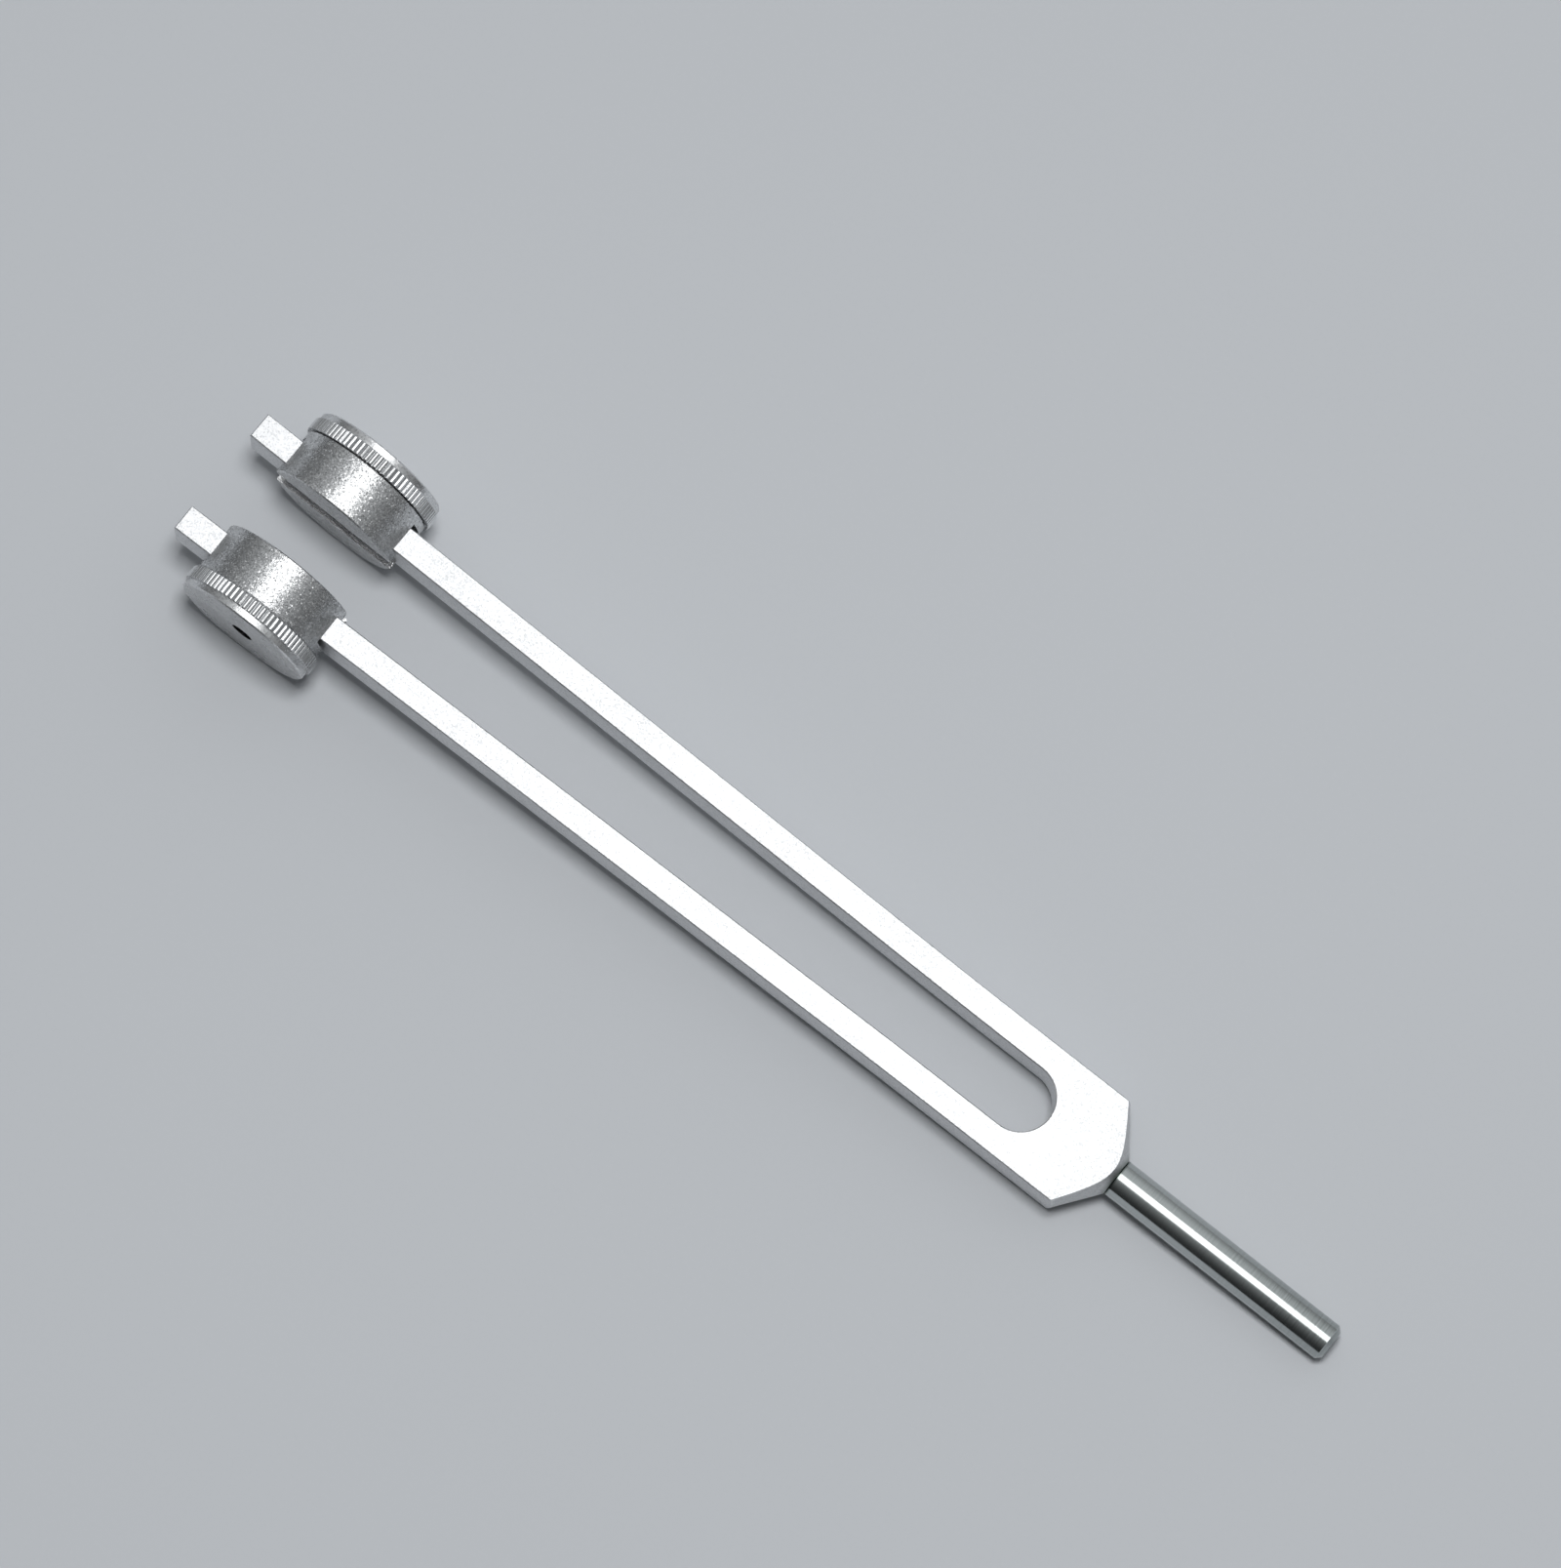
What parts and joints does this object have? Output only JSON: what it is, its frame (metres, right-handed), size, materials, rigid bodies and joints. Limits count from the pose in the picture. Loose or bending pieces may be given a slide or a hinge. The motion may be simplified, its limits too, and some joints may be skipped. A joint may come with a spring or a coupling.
{
  "type": "tuning fork",
  "caption": "Weighted tuning fork: a slotted metal bar on a round stem, each tine carrying a sliding cylindrical weight that a knurled knob clamps.",
  "frame": {"origin": "centre of the flat foot of the stem", "axes": "+X along the fork from the stem's foot to the tine tips, +Y across the tines towards the left weight, +Z square to the bar's flat faces"},
  "size_m": [0.275, 0.044, 0.0306],
  "materials": {
    "fork_satin": "fine bead-blasted and clear anodised, very pale satin",
    "stem_polished": "turned and polished, fine rings round the rod",
    "weight_blasted": "coarse blasted silver with a sparkle",
    "knob_satin": "satin silver, bright cut knurl",
    "screw_steel": "dark oiled steel",
    "pad_brass": "plain turned brass"
  },
  "bodies": {
    "fork": {"fork_body": "fork_satin", "stem": "stem_polished"},
    "left_weight": {"left_barrel": "weight_blasted"},
    "left_clamp_pad": {"left_pad": "pad_brass"},
    "left_clamp_knob": {"left_knob": "knob_satin", "left_screw": "screw_steel"},
    "right_weight": {"right_barrel": "weight_blasted"},
    "right_clamp_pad": {"right_pad": "pad_brass"},
    "right_clamp_knob": {"right_knob": "knob_satin", "right_screw": "screw_steel"}
  },
  "joints": [
    {"name": "left_weight_slide", "type": "slide", "parent": "fork", "child": "left_weight", "axis": [0.9999, 0.0119, 0], "range_m": [-0.125, 0.008]},
    {"name": "left_pad_travel", "type": "slide", "parent": "left_weight", "child": "left_clamp_pad", "axis": [-0.0119, 0.9999, 0], "range_m": [0, 0.0008]},
    {"name": "left_knob_turn", "type": "hinge", "parent": "left_clamp_pad", "child": "left_clamp_knob", "pos_m": [0.2525, 0.01155, 0], "axis": [-0.0119, 0.9999, 0], "range_deg": [0, 360]},
    {"name": "right_weight_slide", "type": "slide", "parent": "fork", "child": "right_weight", "axis": [0.9999, -0.0119, 0], "range_m": [-0.125, 0.008]},
    {"name": "right_pad_travel", "type": "slide", "parent": "right_weight", "child": "right_clamp_pad", "axis": [-0.0119, -0.9999, 0], "range_m": [0, 0.0008]},
    {"name": "right_knob_turn", "type": "hinge", "parent": "right_clamp_pad", "child": "right_clamp_knob", "pos_m": [0.2525, -0.01155, 0], "axis": [-0.0119, -0.9999, 0], "range_deg": [0, 360]}
  ],
  "couplings": [
    {"joint": "left_pad_travel", "follows": "left_knob_turn", "m_per_rad": 0.00012732},
    {"joint": "right_pad_travel", "follows": "right_knob_turn", "m_per_rad": 0.00012732}
  ]
}
